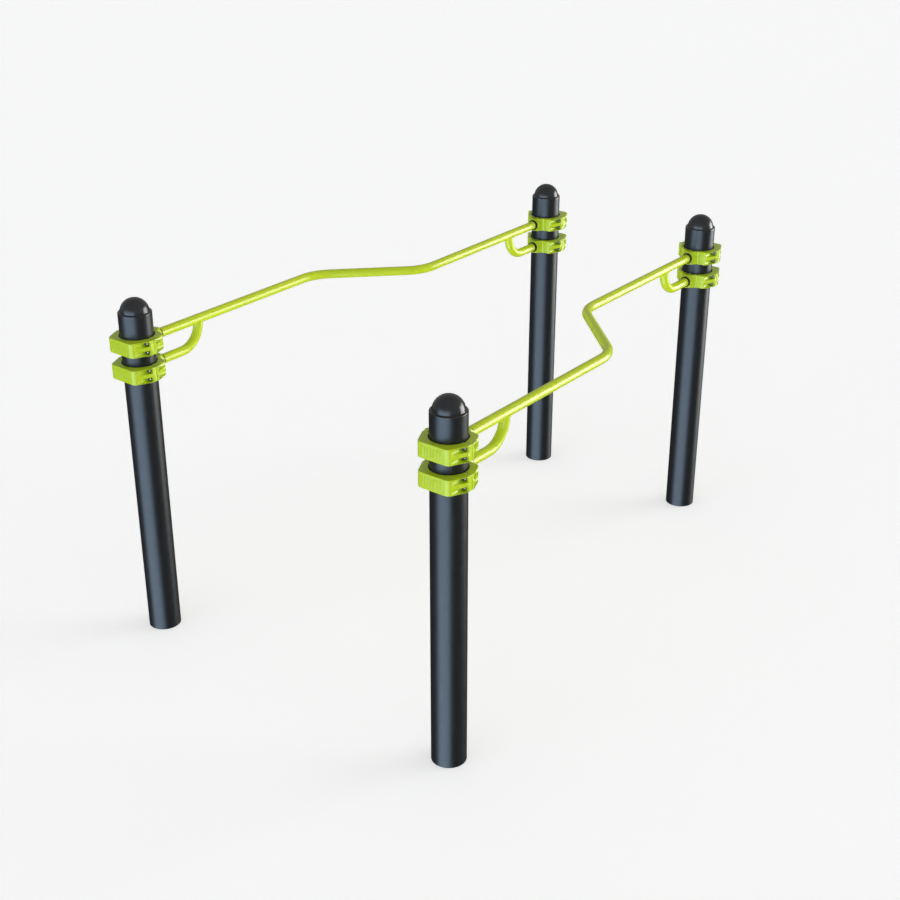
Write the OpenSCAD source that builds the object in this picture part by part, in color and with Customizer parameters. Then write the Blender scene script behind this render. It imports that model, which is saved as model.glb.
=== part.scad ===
// Uneven parallel bars for outdoor training.
// Four round posts stand in a trapezoid. Two tube bars lie along the posts, wide apart at the
// front and close together at the back, with a cranked step in the middle of each bar.
// Every bar end sits in the socket of a hinged post clamp, and a second clamp lower on the same
// post holds a curved brace that is welded to the underside of the bar. All clamps close with
// their bolts on the right.
// Millimetres. Origin on the ground at the middle of the layout, X across, Y along the bars, Z up.
// The front is -Y, the wide end. The left is -X.

/* [Layout] */
// distance between the front and back post rows
post_row_spacing = 2000; // [1600:10:2600]
// distance between the two front posts
front_spacing = 1320; // [900:10:1600]
// distance between the two back posts
back_spacing = 730; // [500:10:1200]
// where the step of the bars has its middle, measured from the middle of the layout
step_middle_y = 22; // [-200:1:200]

/* [Posts] */
// outside diameter of a post
post_diameter = 114.3; // [88.9:0.1:139.7]
// wall thickness of a post
post_wall = 3.6; // [2.5:0.1:6]
// length of a post from the ground to its cut top end
post_height = 1206; // [1150:1:1400]
// thickness of the cap's flange on the post end
cap_flange = 7; // [5:0.5:9]
// radius of the cap's dome
cap_dome_radius = 50; // [40:0.5:51]

/* [Bars] */
// outside diameter of the bars and braces
bar_diameter = 33.7; // [28:0.1:42.4]
// wall thickness of the bars and braces
bar_wall = 3.2; // [2:0.1:5]
// height of the bars' axis above the ground
bar_height = 1105; // [1000:1:1150]
// centreline radius of the bends in the bars
bar_bend_radius = 150; // [70:1:200]

/* [Braces] */
// drop from the bar's axis to the brace's axis
brace_drop = 96; // [80:1:140]
// distance from a front post's axis to the upright leg of its brace
front_brace_reach = 275; // [220:1:400]
// distance from a back post's axis to the upright leg of its brace
back_brace_reach = 266; // [220:1:400]
// centreline radius of the braces' bend
brace_bend_radius = 85; // [50:1:88]

/* [Clamps] */
// height of a clamp
clamp_height = 51; // [44:1:60]
// thickness of the rubber liner between post and clamp
liner_thickness = 3.5; // [2:0.1:5]
// distance from the post's axis to the end of the bolted flange
clamp_half_width = 86; // [82:0.5:95]
// distance from the post's axis to the hinge pin
hinge_offset = 74; // [70:0.5:76]
// radius of the hinge knuckles
knuckle_radius = 12; // [10:0.5:14]
// outside radius of the round part of the inner half
ring_radius = 71; // [68:0.5:74]
// distance from the post's axis to the flat front of the outer half
outer_front = 80; // [74:0.5:90]
// distance of the split from the post's axis, toward the outer half
split_offset = 3; // [0:0.5:6]
// distance from the post's axis to the seat of the bolt heads
head_seat = 18; // [14:0.5:22]
// distance from the post's axis to the seat of the nuts
nut_seat = 6; // [5:0.5:16]
// gap between the two halves
split_gap = 1.6; // [1:0.1:4]
// distance from the post's axis to the mouth of the bar socket
socket_mouth = 90; // [84:0.5:110]
// distance from the post's axis to the floor of the bar socket
socket_floor = 70; // [68:0.5:76]
// outside radius of the socket boss
boss_radius = 25; // [24:0.1:25.4]
// thickness of the bush between bar and socket
bush_thickness = 2.9; // [1.5:0.1:4]
// how far the bush's collar stands out of the socket
bush_collar = 7; // [3:0.5:10]

/* [Fasteners] */
// distance of the clamp bolts from the post's axis, across the bars
bolt_offset = 72; // [68:0.5:76]
// distance of the clamp bolts above and below the clamp's middle
bolt_level = 15; // [12:0.5:16]
// thread diameter of the clamp bolts
bolt_diameter = 8; // [6:1:10]
// head diameter of the clamp bolts
bolt_head_diameter = 13; // [10:0.5:16]
// radius of the channels that the bolts are reached through
channel_radius = 8.5; // [7:0.1:9]

/* [Hidden] */
$fn = 96;
post_r = post_diameter / 2;
post_bore = post_r - post_wall;
bar_r = bar_diameter / 2;
bar_bore = bar_r - bar_wall;
half_rows = post_row_spacing / 2;
brace_height = bar_height - brace_drop;
bore_r = post_r + liner_thickness;
socket_r = bar_r + bush_thickness;
half_h = clamp_height / 2;
half_gap = split_gap / 2;
tiny = 0.05;
crossing = 0.002;
screw_r = 6;
screw_head_r = 9;
screw_head = 6;
plug_length = 24;
nut_height = 8;
nut_flats = 13;
pin_r = 5;
knuckle_z = 9;
hinge_gap = 0.6;
weld_level = bar_height - 6;

places = ["front_left", "front_right", "back_left", "back_right"];
pieces = ["post", "cap", "upper_clamp_outer", "upper_clamp_inner", "lower_clamp_outer",
    "lower_clamp_inner", "hinge_pins", "clamp_liners", "socket_bushes", "clamp_bolts",
    "clamp_nuts", "tube_plugs", "tube_screws", "brace"];

black = [0.10, 0.12, 0.14];
cap_black = [0.06, 0.06, 0.06];
lime = [0.66, 0.80, 0.20];
rubber = [0.03, 0.03, 0.03];
steel = [0.35, 0.36, 0.37];

// three decimals, so that neighbouring pieces share their end faces
function tidy(v) = round(v * 1000) / 1000;
function unit(v) = v / norm(v);

// stand at one of the posts, with the bar side toward +Y; the clamps of the back posts are the
// same castings turned over
module at_post(i) {
    back = i > 1;
    x = (back ? back_spacing : front_spacing) / 2 * (i % 2 == 0 ? -1 : 1);
    translate([x, back ? half_rows : -half_rows, 0]) mirror([0, back ? 1 : 0, 0]) children();
}

module both_levels() {
    for (z = [brace_height, bar_height]) translate([0, 0, z]) children();
}

// outline through corners [x, y, radius], with every corner rounded, outward or inward; the circles
// are a touch too large, so that they cross the straight sides instead of only touching them
module rounded_outline(corners) {
    n = len(corners);
    at = [for (c = corners) [c[0], c[1]]];
    to_last = [for (i = [0:n - 1]) unit(at[(i + n - 1) % n] - at[i])];
    to_next = [for (i = [0:n - 1]) unit(at[(i + 1) % n] - at[i])];
    half = [for (i = [0:n - 1]) acos(to_last[i] * to_next[i]) / 2];
    run = [for (i = [0:n - 1]) corners[i][2] / tan(half[i])];
    turn = [for (i = [0:n - 1]) cross(to_next[i], to_last[i])];
    middle = [for (i = [0:n - 1])
        at[i] + unit(to_last[i] + to_next[i]) * corners[i][2] / sin(half[i])];
    cut = [for (i = [0:n - 1]) each
        (corners[i][2] == 0 ? [at[i]]
            : [at[i] + to_last[i] * run[i], at[i] + to_next[i] * run[i]])];
    difference() {
        union() {
            polygon(cut);
            for (i = [0:n - 1])
                if (turn[i] > 0 && corners[i][2] > 0)
                    translate(middle[i]) circle(corners[i][2] + crossing);
        }
        for (i = [0:n - 1])
            if (turn[i] < 0 && corners[i][2] > 0)
                translate(middle[i]) circle(corners[i][2] + crossing);
    }
}

module ring(outer, inner) {
    difference() {
        circle(outer);
        circle(inner);
    }
}

// a straight tube from the origin along +Y
module tube_run(length) {
    rotate([-90, 0, 0]) linear_extrude(length) ring(bar_r, bar_bore);
}

// a quarter or part turn that starts at the origin along +Y and bends toward -X
module tube_bend(radius, angle) {
    translate([-radius, 0, 0]) rotate_extrude(angle = angle) translate([radius, 0])
        ring(bar_r, bar_bore);
}

// what follows a bend: stands at its far end, along the new direction
module after_bend(radius, angle) {
    translate([-radius, 0, 0]) rotate([0, 0, angle]) translate([radius, 0, 0]) children();
}

// ---------------------------------------------------------------- posts and caps

module post() {
    color(black) linear_extrude(post_height) ring(post_r, post_bore);
}

// pressed into the open post end: flange, dome and a thin plug with three grip rings
module cap() {
    edge = cap_flange / 2;
    inside = cap_dome_radius - 3.5;
    color(cap_black) translate([0, 0, post_height]) rotate_extrude() difference() {
        union() {
            square([post_r - edge, cap_flange]);
            square([post_r, cap_flange - edge]);
            translate([post_r - edge, cap_flange - edge]) circle(edge);
            intersection() {
                translate([0, cap_flange - 3]) circle(cap_dome_radius);
                translate([0, cap_flange - 3]) square([cap_dome_radius, cap_dome_radius]);
            }
            // fillet between dome and flange
            difference() {
                translate([cap_dome_radius - 1, cap_flange - 1]) square([3, 3]);
                translate([cap_dome_radius + 2, cap_flange + 2]) circle(2);
            }
            translate([0, -26]) square([post_bore - 1.2, 27]);
            for (y = [-6, -14, -22]) translate([post_bore - 1.6, y - 1]) square([1.5, 2]);
        }
        translate([0, cap_flange - 3]) circle(inside);
        translate([0, -27]) square([inside, cap_flange + 24]);
        translate([-70, -30]) square([70, 100]);
    }
}

// ---------------------------------------------------------------- clamp castings

// bolt holes and the channels that the bolt heads and nuts sit in, for the +Y half
module bolt_spaces(seat) {
    for (level = [-1, 1]) translate([bolt_offset, 0, level * bolt_level]) rotate([-90, 0, 0]) {
        translate([0, 0, -10]) cylinder(h = seat + 11, r = bolt_diameter / 2 + 0.5);
        translate([0, 0, seat]) cylinder(h = 90, r = channel_radius);
        translate([0, -channel_radius, seat]) cube([40, 2 * channel_radius, 90]);
    }
}

// room for a knuckle of the other half, open toward the post
module knuckle_space(height) {
    r = knuckle_radius + hinge_gap;
    translate([-hinge_offset, 0, 0]) cylinder(h = height, r = r);
    translate([-hinge_offset, -r, 0]) cube([hinge_offset - bore_r + 5, 2 * r, height]);
}

// the half that faces away from the bar: a block with a flat front and rounded upright corners,
// with the middle knuckle of the hinge
module clamp_outer() {
    w = clamp_half_width;
    from = split_offset + half_gap;
    color(lime) mirror([0, 1, 0]) difference() {
        union() {
            translate([0, 0, -half_h]) linear_extrude(clamp_height) {
                rounded_outline([
                    [-75, from, 0], [w, from, 0], [w, head_seat + 3, 6], [58, outer_front, 20],
                    [-53, outer_front, 20], [-83, 17, 12]]);
                translate([-hinge_offset, 0]) circle(knuckle_radius);
            }
            // raised upright ribs on the flat front
            for (x = [-33:11:33]) translate([x - 2.5, outer_front - 5, -14]) cube([5, 6.2, 28]);
        }
        translate([0, 0, -half_h - 1]) cylinder(h = clamp_height + 2, r = bore_r);
        translate([0, 0, knuckle_z]) knuckle_space(half_h);
        translate([0, 0, -knuckle_z - half_h]) knuckle_space(half_h);
        translate([-hinge_offset, 0, -half_h]) cylinder(h = clamp_height, r = pin_r + 0.1);
        bolt_spaces(head_seat);
    }
}

// the half that faces the bar: round body, bolted shoulder, neck and socket boss, with the upper
// and lower knuckles of the hinge
module clamp_inner() {
    w = clamp_half_width;
    from = half_gap - split_offset;
    color(lime) difference() {
        union() {
            translate([0, 0, -half_h]) linear_extrude(clamp_height) {
                rounded_outline([
                    [-35, 0, 0], [0, from, 0], [w, from, 0], [w, nut_seat + 3, 5], [65, 60, 18],
                    [42, 60, 1.5], [40.5, 64, 1.2], [36.5, 64, 1.2], [33, 61, 3],
                    [12.5, socket_mouth - 6, 10], [-12.5, socket_mouth - 6, 10], [-35, 60, 6]]);
                difference() {
                    circle(ring_radius);
                    translate([-100, from - 100]) square([200, 100]);
                }
                translate([-hinge_offset, 0]) circle(knuckle_radius);
            }
            translate([0, 50, 0]) rotate([-90, 0, 0])
                cylinder(h = socket_mouth - 50, r = boss_radius);
        }
        translate([0, 0, -half_h - 1]) cylinder(h = clamp_height + 2, r = bore_r);
        translate([0, socket_floor, 0]) rotate([-90, 0, 0]) cylinder(h = 40, r = socket_r);
        // screw from the post side into the tube's end plug
        rotate([-90, 0, 0]) cylinder(h = socket_floor + 1, r = screw_r + 0.5);
        rotate([-90, 0, 0]) cylinder(h = bore_r + 3.5, r = screw_head_r + 0.6);
        // room for the other half's knuckle, and the pin hole from below
        translate([0, 0, -knuckle_z - hinge_gap]) knuckle_space(2 * (knuckle_z + hinge_gap));
        translate([-hinge_offset, 0, -half_h - 1]) cylinder(h = clamp_height - 2, r = pin_r + 0.1);
        bolt_spaces(nut_seat);
    }
}

// ---------------------------------------------------------------- small parts of one clamp

module hinge_pin() {
    color(steel) translate([-hinge_offset, 0, -half_h + 1]) cylinder(h = clamp_height - 4, r = pin_r);
}

// two half shells with open sides at the split
module liner() {
    color(rubber) translate([0, 0, -half_h + 1]) difference() {
        linear_extrude(clamp_height - 2) ring(bore_r, post_r);
        translate([-100, -split_offset - 6, -1]) cube([200, 12, clamp_height]);
        translate([0, 0, half_h - 1]) rotate([-90, 0, 0]) cylinder(h = 80, r = screw_head_r + 2);
    }
}

// sleeve in the socket with a collar in front of it
module bush() {
    color(rubber) translate([0, socket_floor, 0]) rotate([-90, 0, 0]) {
        linear_extrude(socket_mouth - socket_floor) ring(socket_r, bar_r);
        translate([0, 0, socket_mouth - socket_floor]) linear_extrude(bush_collar)
            ring(socket_r + 0.6, bar_r);
    }
}

// origin on the split of the bolted flange, +Z toward the bolt heads
module at_bolts() {
    for (level = [-1, 1])
        translate([bolt_offset, 0, level * bolt_level]) rotate([90, 0, 0]) children();
}

// socket head bolts, heads in the outer half's channels
module clamp_bolt() {
    r = bolt_diameter / 2;
    color(steel) at_bolts() difference() {
        union() {
            translate([0, 0, -nut_seat - nut_height - 3])
                cylinder(h = head_seat + nut_seat + nut_height + 4, r = r);
            translate([0, 0, head_seat]) cylinder(h = 1.6, r = 8);
            translate([0, 0, head_seat + 1.6]) cylinder(h = 7.2, r = bolt_head_diameter / 2);
            translate([0, 0, head_seat + 8.8])
                cylinder(h = 0.8, r1 = bolt_head_diameter / 2, r2 = bolt_head_diameter / 2 - 0.8);
        }
        translate([0, 0, head_seat + 5.6])
            rotate([0, 0, 30]) cylinder(h = 9, r = 6 / sqrt(3), $fn = 6);
    }
}

// flanged hexagon nuts in the inner half's channels
module clamp_nut() {
    color(steel) at_bolts() translate([0, 0, -nut_seat - nut_height]) difference() {
        union() {
            intersection() {
                rotate([0, 0, 30]) cylinder(h = nut_height, r = nut_flats / sqrt(3), $fn = 6);
                cylinder(h = nut_height + 5, r1 = nut_flats / 2 - 0.2, r2 = nut_flats / 2 + 12.8);
            }
            translate([0, 0, nut_height - 1.6]) cylinder(h = 1.6, r = 8);
        }
        translate([0, 0, -1]) cylinder(h = nut_height + 2, r = bolt_diameter / 2 + tiny);
    }
}

// threaded plug in the end of a bar or brace
module tube_plug() {
    color(steel) translate([0, socket_floor, 0]) rotate([-90, 0, 0])
        linear_extrude(plug_length) ring(bar_bore - tiny, screw_r + tiny);
}

// low head screw that pulls the tube into its socket
module tube_screw() {
    seat = bore_r + 3.5;
    color(steel) rotate([-90, 0, 0]) difference() {
        union() {
            translate([0, 0, seat - screw_head]) cylinder(h = screw_head, r = screw_head_r);
            translate([0, 0, seat - 1]) cylinder(h = socket_floor + plug_length - seat, r = screw_r);
        }
        translate([0, 0, seat - screw_head - 1])
            rotate([0, 0, 30]) cylinder(h = 4.5, r = 8 / sqrt(3), $fn = 6);
    }
}

// ---------------------------------------------------------------- bars and braces

// a bar with its origin in the middle of the step; the step runs toward +X with growing Y
module bar() {
    shift = (front_spacing - back_spacing) / 2;
    tangent = bar_bend_radius * tan(22.5);
    step_half = tidy(shift / sqrt(2) - tangent);
    front_run = tidy(half_rows + step_middle_y - shift / 2 - tangent - socket_floor);
    back_run = tidy(half_rows - step_middle_y - shift / 2 - tangent - socket_floor);
    color(lime) rotate([0, 0, -45]) {
        translate([0, -step_half, 0]) tube_run(2 * step_half);
        for (end = [0, 1]) rotate([0, 0, end * 180]) translate([0, step_half, 0]) {
            tube_bend(bar_bend_radius, 45);
            after_bend(bar_bend_radius, 45) tube_run(end == 0 ? back_run : front_run);
        }
    }
}

module left_bar() {
    translate([-(front_spacing + back_spacing) / 4, step_middle_y, bar_height]) bar();
}

module right_bar() {
    mirror([1, 0, 0]) left_bar();
}

// from the lower clamp's socket, along the bar, then up to the bar's underside
module brace(reach) {
    run = reach - brace_bend_radius - socket_floor;
    rise = weld_level - brace_height - brace_bend_radius;
    color(lime) difference() {
        translate([0, socket_floor, brace_height]) rotate([0, 90, 0]) {
            tube_run(run);
            translate([0, run, 0]) {
                tube_bend(brace_bend_radius, 90);
                after_bend(brace_bend_radius, 90) tube_run(rise);
            }
        }
        translate([0, reach - 60, bar_height]) rotate([-90, 0, 0]) cylinder(h = 120, r = bar_r);
    }
}

// ---------------------------------------------------------------- the assembly

for (i = [0:3]) at_post(i) {
    name = places[i];
    post();
    cap();
    translate([0, 0, bar_height]) clamp_outer();
    translate([0, 0, bar_height]) clamp_inner();
    translate([0, 0, brace_height]) clamp_outer();
    translate([0, 0, brace_height]) clamp_inner();
    both_levels() liner();
    both_levels() bush();
    both_levels() clamp_bolt();
    both_levels() hinge_pin();
    both_levels() clamp_nut();
    both_levels() tube_plug();
    both_levels() tube_screw();
    brace(i > 1 ? back_brace_reach : front_brace_reach);
}
left_bar();
right_bar();
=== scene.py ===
"""Looks for the uneven parallel bars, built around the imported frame.

Metres, in the frame's axes: X across the bars, Y along them, Z up.
"""

import math

import bmesh
import bpy
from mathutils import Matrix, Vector


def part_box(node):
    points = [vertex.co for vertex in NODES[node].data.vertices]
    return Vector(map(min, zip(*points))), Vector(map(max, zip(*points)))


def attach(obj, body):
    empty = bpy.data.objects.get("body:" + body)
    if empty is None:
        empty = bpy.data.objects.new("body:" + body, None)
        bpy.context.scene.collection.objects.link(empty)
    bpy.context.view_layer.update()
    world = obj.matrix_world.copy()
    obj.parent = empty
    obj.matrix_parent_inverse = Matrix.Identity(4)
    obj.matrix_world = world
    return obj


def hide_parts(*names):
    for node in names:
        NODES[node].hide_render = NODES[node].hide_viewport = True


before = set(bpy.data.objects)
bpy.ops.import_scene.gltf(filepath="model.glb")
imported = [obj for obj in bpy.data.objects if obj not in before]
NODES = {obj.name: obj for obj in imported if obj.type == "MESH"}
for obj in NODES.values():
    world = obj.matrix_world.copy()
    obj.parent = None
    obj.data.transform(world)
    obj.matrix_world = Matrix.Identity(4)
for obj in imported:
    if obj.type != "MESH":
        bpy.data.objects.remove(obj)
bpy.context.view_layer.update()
PLACES = ("front_left", "front_right", "back_left", "back_right")
CLAMP_HALVES = ("upper_clamp_outer", "upper_clamp_inner", "lower_clamp_outer", "lower_clamp_inner")


# ---------------------------------------------------------------- camera

CAMERA_AT = (2.9525, -3.9737, 2.8869)
CAMERA_AZIMUTH = 37.5548
CAMERA_ELEVATION = 25.6267
CAMERA_LENS_MM = 58.12
CAMERA_SENSOR_MM = 36.0
CAMERA_SHIFT = -0.5 / 900.0

cam_data = bpy.data.cameras.new("photo_camera")
cam_data.sensor_width = CAMERA_SENSOR_MM
cam_data.lens = CAMERA_LENS_MM
cam_data.shift_x = CAMERA_SHIFT
cam_data.clip_end = 100.0
camera = bpy.data.objects.new("photo_camera", cam_data)
camera.location = CAMERA_AT
camera.rotation_euler = (
    math.radians(90.0 - CAMERA_ELEVATION),
    0.0,
    math.radians(CAMERA_AZIMUTH),
)
bpy.context.collection.objects.link(camera)
bpy.context.scene.camera = camera
bpy.context.scene.view_settings.view_transform = "Standard"


# ---------------------------------------------------------------- node graphs


class Graph:
    """A node tree, with short calls for the nodes that the coats and the studio share."""

    def __init__(self, owner):
        owner.use_nodes = True
        self.owner = owner
        self.tree = owner.node_tree
        self.shader = self.tree.nodes.get("Principled BSDF") or self.tree.nodes["Background"]
        self.coordinates = self.node("ShaderNodeTexCoord")
        self.place = self.coordinates.outputs["Object"]

    def node(self, kind, **values):
        made = self.tree.nodes.new(kind)
        for key, value in values.items():
            setattr(made, key, value)
        return made

    def feed(self, socket, value):
        """Link an output into a socket, or set the socket to a number or a colour."""
        if isinstance(value, bpy.types.NodeSocket):
            self.tree.links.new(value, socket)
        elif isinstance(value, tuple) and len(socket.default_value) == 4:
            socket.default_value = (*value, 1.0)
        else:
            socket.default_value = value

    def math(self, operation, *values):
        made = self.node("ShaderNodeMath", operation=operation)
        for socket, value in zip(made.inputs, values):
            self.feed(socket, value)
        return made.outputs["Value"]

    def noise(self, scale, detail=2.0, rough=0.5, stretch=None):
        made = self.node("ShaderNodeTexNoise")
        made.inputs["Scale"].default_value = scale
        made.inputs["Detail"].default_value = detail
        made.inputs["Roughness"].default_value = rough
        source = self.place
        if stretch:
            mapping = self.node("ShaderNodeMapping")
            mapping.inputs["Scale"].default_value = stretch
            self.feed(mapping.inputs["Vector"], source)
            source = mapping.outputs["Vector"]
        self.feed(made.inputs["Vector"], source)
        return made.outputs["Fac"]

    def ramp(self, value, low, high, to_low, to_high, smooth=False):
        made = self.node("ShaderNodeMapRange")
        made.interpolation_type = "SMOOTHSTEP" if smooth else "LINEAR"
        ends = {"From Min": low, "From Max": high, "To Min": to_low, "To Max": to_high}
        for key, number in ends.items():
            made.inputs[key].default_value = number
        self.feed(made.inputs["Value"], value)
        return made.outputs["Result"]

    def mix(self, factor, a, b):
        made = self.node("ShaderNodeMix", data_type="RGBA")
        self.feed(made.inputs["Factor"], factor)
        self.feed(made.inputs[6], a)
        self.feed(made.inputs[7], b)
        return made.outputs[2]

    def bump(self, height, strength, distance, under=None):
        made = self.node("ShaderNodeBump")
        made.inputs["Strength"].default_value = strength
        made.inputs["Distance"].default_value = distance
        self.feed(made.inputs["Height"], height)
        if under is not None:
            self.feed(made.inputs["Normal"], under)
        return made.outputs["Normal"]

    def set(self, **values):
        for key, value in values.items():
            self.feed(self.shader.inputs[key.replace("_", " ")], value)


# ---------------------------------------------------------------- studio light

# Directions are azimuths in degrees, 0 at +X and 90 at +Y, and heights as the sine of the elevation.
BELOW_LIGHT = (0.05, 0.05, 0.05)
ABOVE_LIGHT = (0.39, 0.39, 0.385)
HORIZON = (-0.25, 0.05)

world = bpy.data.worlds.new("studio")
bpy.context.scene.world = world
studio = Graph(world)
compass = studio.node("ShaderNodeSeparateXYZ")
studio.feed(compass.inputs[0], studio.coordinates.outputs["Generated"])
AZIMUTH = studio.math("ARCTAN2", compass.outputs["Y"], compass.outputs["X"])
HEIGHT = compass.outputs["Z"]


def softbox(under, azimuth, half_width, side_fade, bottom, bottom_fade, top, top_fade, light):
    """Add a bright panel with soft edges, far away, to the light that is there already."""
    off = studio.math("ABSOLUTE", studio.math("SUBTRACT", AZIMUTH, math.radians(azimuth)))
    full, gone = math.radians(half_width), math.radians(half_width + side_fade)
    across = studio.ramp(off, full, gone, 1.0, 0.0, smooth=True)
    over_bottom = studio.ramp(HEIGHT, bottom - bottom_fade, bottom, 0.0, 1.0, smooth=True)
    under_top = studio.ramp(HEIGHT, top, top + top_fade, 1.0, 0.0, smooth=True)
    mask = studio.math("MULTIPLY", across, studio.math("MULTIPLY", over_bottom, under_top))
    panel = studio.node("ShaderNodeVectorMath", operation="SCALE")
    panel.inputs[0].default_value = light
    studio.feed(panel.inputs["Scale"], mask)
    total = studio.node("ShaderNodeVectorMath", operation="ADD")
    studio.feed(total.inputs[0], under)
    studio.feed(total.inputs[1], panel.outputs[0])
    return total.outputs[0]


room = studio.mix(studio.ramp(HEIGHT, *HORIZON, 0.0, 1.0, smooth=True), BELOW_LIGHT, ABOVE_LIGHT)
# a wide cool panel on the camera's side, for the streak along the posts
room = softbox(room, -84.0, 24.0, 28.0, -0.85, 0.10, -0.05, 0.50, (2.6, 3.5, 4.6))
# a narrow strong panel on the right, for the bright line along the bars and on the caps
room = softbox(room, 52.0, 13.0, 10.0, -0.12, 0.36, 0.22, 0.14, (9.4, 9.6, 9.6))
studio.feed(studio.shader.inputs["Color"], room)
studio.shader.inputs["Strength"].default_value = 1.0


# ---------------------------------------------------------------- materials


def coat(name):
    return Graph(bpy.data.materials.new(name))


def powder_coat(name, colour, deep, rough, peel):
    """Powder coat on metal, with a cloudy thickness and orange peel."""
    g = coat(name)
    cloud = g.ramp(g.noise(5.0, 3.0), 0.3, 0.7, 0.0, 1.0)
    fleck = g.ramp(g.noise(260.0, 2.0), 0.35, 0.75, 0.0, 0.35)
    body = g.mix(fleck, g.mix(cloud, colour, deep), deep)
    peel_fine = g.bump(g.noise(620.0, 2.0, 0.45), peel, 0.00005)
    g.set(
        Base_Color=body,
        Roughness=g.ramp(g.noise(38.0, 3.0), 0.3, 0.7, rough - 0.04, rough + 0.05),
        Normal=g.bump(g.noise(90.0, 2.0), peel * 0.5, 0.00012, peel_fine),
        Metallic=0.0,
        Specular_IOR_Level=0.5,
    )
    return g.owner


def moulded_black():
    """The caps: half gloss polymer with faint flow clouds and dust-fine scuffs."""
    g = coat("cap_moulded_black")
    cloud = g.ramp(g.noise(14.0, 4.0), 0.3, 0.7, 0.0, 1.0)
    g.set(
        Base_Color=g.mix(cloud, (0.020, 0.020, 0.020), (0.026, 0.026, 0.026)),
        Roughness=g.ramp(g.noise(60.0, 5.0, 0.6), 0.3, 0.75, 0.17, 0.24),
        Normal=g.bump(g.noise(420.0, 3.0), 0.2, 0.00004),
        Specular_IOR_Level=0.45,
    )
    return g.owner


def rubber(name, tone):
    """Matt black rubber or plastic."""
    g = coat(name)
    pale = tone * 1.8
    cloud = g.ramp(g.noise(90.0, 3.0), 0.3, 0.7, 0.0, 1.0)
    g.set(
        Base_Color=g.mix(cloud, (tone, tone, tone), (pale, pale, pale)),
        Roughness=g.ramp(g.noise(200.0, 2.0), 0.3, 0.7, 0.55, 0.75),
        Normal=g.bump(g.noise(800.0, 2.0), 0.3, 0.00008),
        Specular_IOR_Level=0.3,
    )
    return g.owner


def steel(name, tone, rough, brushed):
    """Bare steel with fine turning lines."""
    g = coat(name)
    cloud = g.ramp(g.noise(220.0, 3.0, 0.6), 0.3, 0.7, 0.0, 1.0)
    dark = tuple(c * 0.7 for c in tone)
    lines = g.noise(1400.0, 2.0, 0.5, (1.0, 0.06, 1.0))
    g.set(
        Base_Color=g.mix(cloud, tone, dark),
        Roughness=g.ramp(g.noise(500.0, 3.0), 0.3, 0.7, rough - 0.07, rough + 0.09),
        Normal=g.bump(lines, brushed, 0.00004),
        Metallic=1.0,
    )
    return g.owner


BLUE_BLACK = ((0.0135, 0.0150, 0.0160), (0.0110, 0.0125, 0.0135))
CAST_LIME = ((0.56, 0.71, 0.016), (0.52, 0.67, 0.014))
BRIGHT_LIME = ((0.64, 0.77, 0.018), (0.60, 0.73, 0.016))

POST = powder_coat("post_blue_black_coat", *BLUE_BLACK, rough=0.36, peel=0.25)
LIME_CAST = powder_coat("clamp_lime_coat", *CAST_LIME, rough=0.24, peel=0.2)
LIME_TUBE = powder_coat("bar_lime_coat", *BRIGHT_LIME, rough=0.24, peel=0.18)
CAP = moulded_black()
LINER = rubber("liner_rubber", 0.006)
BUSH = rubber("bush_polymer", 0.007)
STEEL = steel("bolt_dark_steel", (0.32, 0.32, 0.33), 0.24, 0.2)
PLUG = steel("plug_turned_steel", (0.42, 0.41, 0.40), 0.36, 0.35)

# what the end of a node's name says about its finish
LOOKS = {
    "post": POST,
    "cap": CAP,
    "hinge_pins": STEEL,
    "clamp_liners": LINER,
    "socket_bushes": BUSH,
    "clamp_bolts": STEEL,
    "clamp_nuts": STEEL,
    "tube_plugs": PLUG,
    "tube_screws": STEEL,
    "brace": LIME_TUBE,
    "bar": LIME_TUBE,
}


def dress(mesh, material):
    mesh.materials.clear()
    mesh.materials.append(material)


for node, shape in NODES.items():
    for ending, look in LOOKS.items():
        if node.endswith(ending):
            dress(shape.data, look)


# ---------------------------------------------------------------- new pieces


def new_object(name, bm, material):
    mesh = bpy.data.meshes.new(name)
    bm.to_mesh(mesh)
    bm.free()
    dress(mesh, material)
    made = bpy.data.objects.new(name, mesh)
    bpy.context.collection.objects.link(made)
    return made


def add_piece(name, bm, material, replaces=None):
    piece = new_object(name, bm, material)
    piece.data.shade_smooth()
    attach(piece, "root")
    if replaces:
        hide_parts(replaces)
    return piece


# The clamp halves keep their CAD shape, with the outer top and bottom edges rounded as on a casting.

EDGE_RADIUS = {"outer": 0.0018, "inner": 0.0011}
EDGE_STEPS = 3
SAME_LEVEL = 0.00005
SAME_POINT = 0.00001
SAME_PLANE = math.radians(0.5)
SMOOTH_BELOW = math.radians(33.0)
OUTWARD = 0.012


def outside_edges(bm, axis):
    """The convex edges between the flat top or bottom and the walls that face away from the post."""
    heights = [vert.co.z for vert in bm.verts]
    ends = (min(heights), max(heights))
    chosen = []
    for edge in bm.edges:
        if len(edge.link_faces) != 2 or not edge.is_convex:
            continue
        if all(min(abs(vert.co.z - end) for end in ends) > SAME_LEVEL for vert in edge.verts):
            continue
        flat, wall = sorted(edge.link_faces, key=lambda face: -abs(face.normal.z))
        middle = (edge.verts[0].co + edge.verts[1].co) / 2 - axis
        away = wall.normal.x * middle.x + wall.normal.y * middle.y
        if abs(flat.normal.z) > 0.99 and abs(wall.normal.z) < 0.05 and away > OUTWARD:
            chosen.append(edge)
    return chosen


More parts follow.
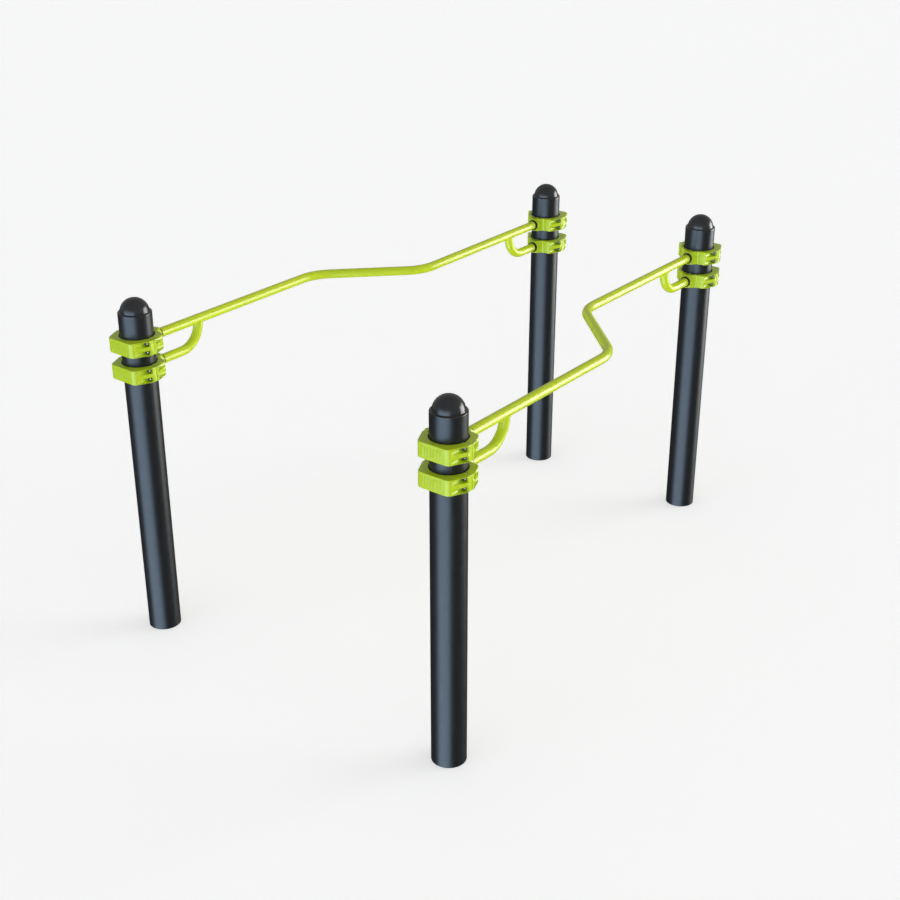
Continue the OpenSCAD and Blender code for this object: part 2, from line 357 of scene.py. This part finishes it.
def cast_edges(place, half):
    node = f"{place}_{half}"
    low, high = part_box(f"{place}_post")
    bm = bmesh.new()
    bm.from_mesh(NODES[node].data)
    bmesh.ops.remove_doubles(bm, verts=bm.verts, dist=SAME_POINT)
    bmesh.ops.dissolve_limit(bm, angle_limit=SAME_PLANE, verts=bm.verts, edges=bm.edges)
    bm.normal_update()
    bmesh.ops.bevel(
        bm,
        geom=outside_edges(bm, (low + high) / 2),
        offset=EDGE_RADIUS[half.split("_")[-1]],
        segments=EDGE_STEPS,
        profile=0.5,
        affect="EDGES",
        clamp_overlap=False,
    )
    bmesh.ops.triangulate(bm, faces=bm.faces)
    piece = add_piece(f"{node}_cast", bm, LIME_CAST, node)
    piece.data.set_sharp_from_angle(angle=SMOOTH_BELOW)
    even = piece.modifiers.new("even_shading", "WEIGHTED_NORMAL")
    even.weight = 100
    even.keep_sharp = True


for place in PLACES:
    for half in CLAMP_HALVES:
        cast_edges(place, half)


# ---------------------------------------------------------------- weld beads

BAR_LOW, BAR_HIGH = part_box("left_bar")
BAR_AXIS = (BAR_LOW.z + BAR_HIGH.z) / 2
BEAD_RADIUS = 0.0023
BEAD_PROUD = 0.0004
BEAD_RIPPLES = 34
BEAD_RINGS = BEAD_RIPPLES * 4
BEAD_SIDES = 10


def weld_bead(place):
    """A rippled bead around the saddle where a brace meets the underside of its bar."""
    low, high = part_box(f"{place}_brace")
    radius = (high.x - low.x) / 2
    leg_x = (low.x + high.x) / 2
    leg_y = high.y - radius if place.startswith("front") else low.y + radius
    least_drop = BAR_AXIS - high.z

    def seat(turn):
        """The point of the saddle at this turn around the leg."""
        drop = max(radius * abs(math.sin(turn)), least_drop)
        out = radius + BEAD_PROUD
        x = leg_x + out * math.cos(turn)
        y = leg_y + out * math.sin(turn)
        return Vector((x, y, BAR_AXIS - drop - BEAD_PROUD))

    bm = bmesh.new()
    loops = []
    for ring in range(BEAD_RINGS):
        turn = 2 * math.pi * ring / BEAD_RINGS
        here = seat(turn)
        along = (seat(turn + 0.02) - seat(turn - 0.02)).normalized()
        radial = Vector((math.cos(turn), math.sin(turn), 0.0))
        up = radial.cross(along).normalized()
        radial = along.cross(up).normalized()
        ripple = 0.13 * math.cos(ring * math.pi / 2)
        swell = 0.05 * math.sin(3.7 * turn + leg_x)
        size = BEAD_RADIUS * (1.0 + ripple + swell)
        loop = []
        for side in range(BEAD_SIDES):
            angle = 2 * math.pi * side / BEAD_SIDES
            loop.append(bm.verts.new(here + size * (math.cos(angle) * radial + math.sin(angle) * up)))
        loops.append(loop)
    for ring, loop in enumerate(loops):
        after = loops[(ring + 1) % BEAD_RINGS]
        for side in range(BEAD_SIDES):
            beside = (side + 1) % BEAD_SIDES
            bm.faces.new((loop[side], loop[beside], after[beside], after[side]))
    bmesh.ops.recalc_face_normals(bm, faces=bm.faces)
    add_piece(f"{place}_weld_bead", bm, LIME_TUBE)


for place in PLACES:
    weld_bead(place)


# ---------------------------------------------------------------- floor and backdrop

FLOOR_REACH = 30.0
WALL_RADIUS = 29.0
WALL_HEIGHT = 60.0


def floor_white():
    g = coat("floor_white")
    g.set(
        Base_Color=g.mix(g.noise(2.0, 2.0), (0.86, 0.86, 0.86), (0.84, 0.84, 0.84)),
        Roughness=0.8,
        Emission_Color=(1.0, 0.99, 0.975),
        Emission_Strength=0.5,
    )
    return g.owner


def wall_white():
    g = coat("wall_white")
    g.set(
        Base_Color=(0.0, 0.0, 0.0),
        Specular_IOR_Level=0.0,
        Emission_Color=(0.97, 0.97, 0.965),
        Emission_Strength=1.0,
    )
    return g.owner


bm = bmesh.new()
bmesh.ops.create_grid(bm, x_segments=1, y_segments=1, size=FLOOR_REACH)
floor = new_object("floor", bm, floor_white())
floor.visible_glossy = False

# a pale wall far around, seen only by the camera, so that low views don't show the light panels
bm = bmesh.new()
bmesh.ops.create_cone(
    bm,
    cap_ends=False,
    segments=96,
    radius1=WALL_RADIUS,
    radius2=WALL_RADIUS,
    depth=WALL_HEIGHT,
)
wall = new_object("wall", bm, wall_white())
wall.visible_diffuse = False
wall.visible_glossy = False
wall.visible_transmission = False
wall.visible_shadow = False
